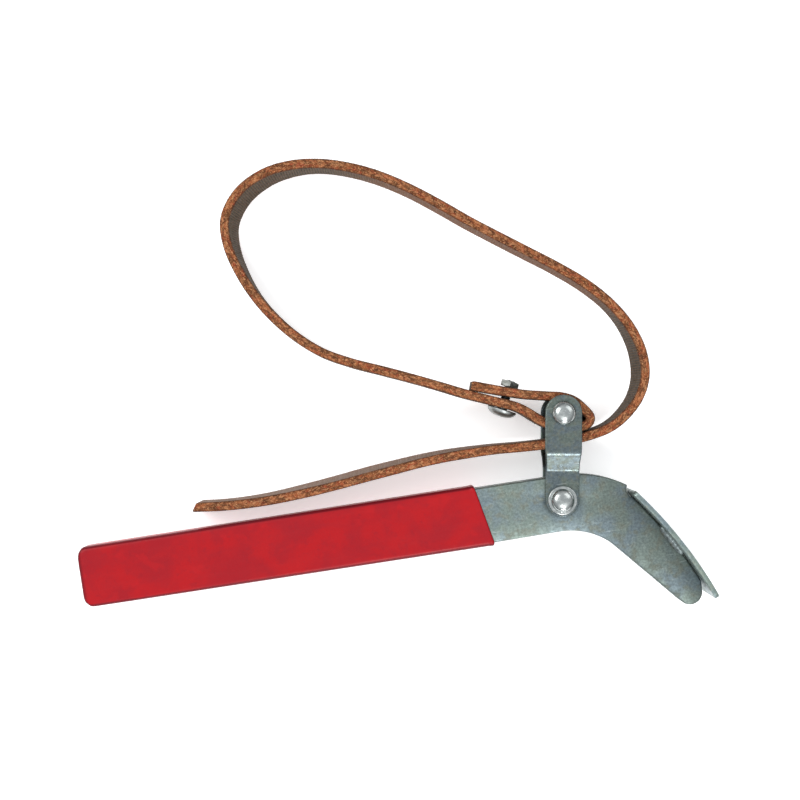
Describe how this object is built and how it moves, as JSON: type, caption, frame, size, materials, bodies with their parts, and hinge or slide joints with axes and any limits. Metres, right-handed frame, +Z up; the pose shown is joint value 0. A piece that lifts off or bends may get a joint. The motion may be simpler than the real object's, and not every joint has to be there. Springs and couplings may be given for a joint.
{
  "type": "strap wrench",
  "caption": "Strap wrench: red dipped channel lever with a welded jaw shoe, cranked links, and a woven strap looped back between them.",
  "frame": {"origin": "middle of the base of the bounding box, the wrench lying on its side", "axes": "+X along the lever from the grip to the jaw, +Y from the lever to the strap loop, +Z up, along the rivets"},
  "size_m": [0.2502, 0.2012, 0.0318],
  "materials": {
    "zinc_plate": "dull mottled zinc plating, grey-green",
    "link_plate": "zinc plating, brighter at the bends",
    "weld_steel": "weld bead under zinc plating",
    "rivet_steel": "bright plated steel",
    "dark_steel": "plated steel, darkened",
    "red_vinyl": "dipped red vinyl, mottled satin gloss",
    "strap_webbing": "brown impregnated woven belting"
  },
  "bodies": {
    "lever": {"lever_channel": "zinc_plate", "grip_coating": "red_vinyl", "jaw_shoe": "zinc_plate", "shoe_weld_front": "weld_steel", "shoe_weld_rear": "weld_steel", "lever_rivet": "rivet_steel", "lever_spacer": "dark_steel", "lever_washer_front": "rivet_steel", "lever_washer_rear": "rivet_steel"},
    "link": {"link_front": "link_plate", "link_rear": "link_plate", "strap_pin": "rivet_steel", "strap_pin_spacer": "dark_steel"},
    "strap_eye": {"strap_eye": "strap_webbing", "strap_screw": "rivet_steel", "strap_nut": "dark_steel"},
    "strap_loop_1": {"strap_loop_1": "strap_webbing"},
    "strap_loop_2": {"strap_loop_2": "strap_webbing"},
    "strap_loop_3": {"strap_loop_3": "strap_webbing"},
    "strap_loop_4": {"strap_loop_4": "strap_webbing"},
    "strap_loop_5": {"strap_loop_5": "strap_webbing"},
    "strap_throat": {"strap_throat": "strap_webbing"},
    "strap_tail_root": {"strap_tail_root": "strap_webbing"},
    "strap_tail": {"strap_tail": "strap_webbing"}
  },
  "joints": [
    {"name": "link_pivot", "type": "hinge", "parent": "lever", "child": "link", "pos_m": [0.0699, -0.0511, 0.0159], "axis": [0, 0, 1], "range_deg": [-36, 6]},
    {"name": "eye_swing", "type": "hinge", "parent": "link", "child": "strap_eye", "pos_m": [0.0755, -0.0166, 0.0159], "axis": [0, 0, 1], "range_deg": [-12, 2]},
    {"name": "strap_draw", "type": "hinge", "parent": "strap_eye", "child": "strap_loop_1", "pos_m": [0.029, 0.0013, 0.0159], "axis": [0, 0, 1], "range_deg": [-13, 3]},
    {"name": "loop_flex_2", "type": "hinge", "parent": "strap_loop_1", "child": "strap_loop_2", "pos_m": [-0.0361, 0.0435, 0.0159], "axis": [0, 0, 1], "range_deg": [-2.72, 10.12]},
    {"name": "loop_flex_3", "type": "hinge", "parent": "strap_loop_2", "child": "strap_loop_3", "pos_m": [-0.0046, 0.0975, 0.0159], "axis": [0, 0, 1], "range_deg": [-6.74, 1.94]},
    {"name": "loop_flex_4", "type": "hinge", "parent": "strap_loop_3", "child": "strap_loop_4", "pos_m": [0.0717, 0.0495, 0.0159], "axis": [0, 0, 1], "range_deg": [-3.5, 13.5]},
    {"name": "loop_flex_5", "type": "hinge", "parent": "strap_loop_4", "child": "strap_loop_5", "pos_m": [0.1075, 0.0129, 0.0159], "axis": [0, 0, 1], "range_deg": [-1.73, 5.83]},
    {"name": "throat_flex", "type": "hinge", "parent": "strap_loop_5", "child": "strap_throat", "pos_m": [0.0933, -0.0251, 0.0159], "axis": [0, 0, 1], "range_deg": [-9.21, 2.51]},
    {"name": "tail_flex_1", "type": "hinge", "parent": "strap_throat", "child": "strap_tail_root", "pos_m": [0.0463, -0.0269, 0.0159], "axis": [0, 0, 1], "range_deg": [-6.5, 36.5]},
    {"name": "tail_flex_2", "type": "hinge", "parent": "strap_tail_root", "child": "strap_tail", "pos_m": [0.0261, -0.027, 0.0159], "axis": [0, 0, 1], "range_deg": [-2.5, 12.5]}
  ],
  "couplings": [
    {"joint": "loop_flex_2", "follows": "strap_draw", "ratio": -0.74},
    {"joint": "loop_flex_3", "follows": "strap_draw", "ratio": 0.48},
    {"joint": "loop_flex_4", "follows": "strap_draw", "ratio": -1},
    {"joint": "loop_flex_5", "follows": "strap_draw", "ratio": -0.41},
    {"joint": "throat_flex", "follows": "strap_draw", "ratio": 0.67},
    {"joint": "tail_flex_1", "follows": "link_pivot", "ratio": -1},
    {"joint": "tail_flex_2", "follows": "eye_swing", "ratio": -1}
  ]
}
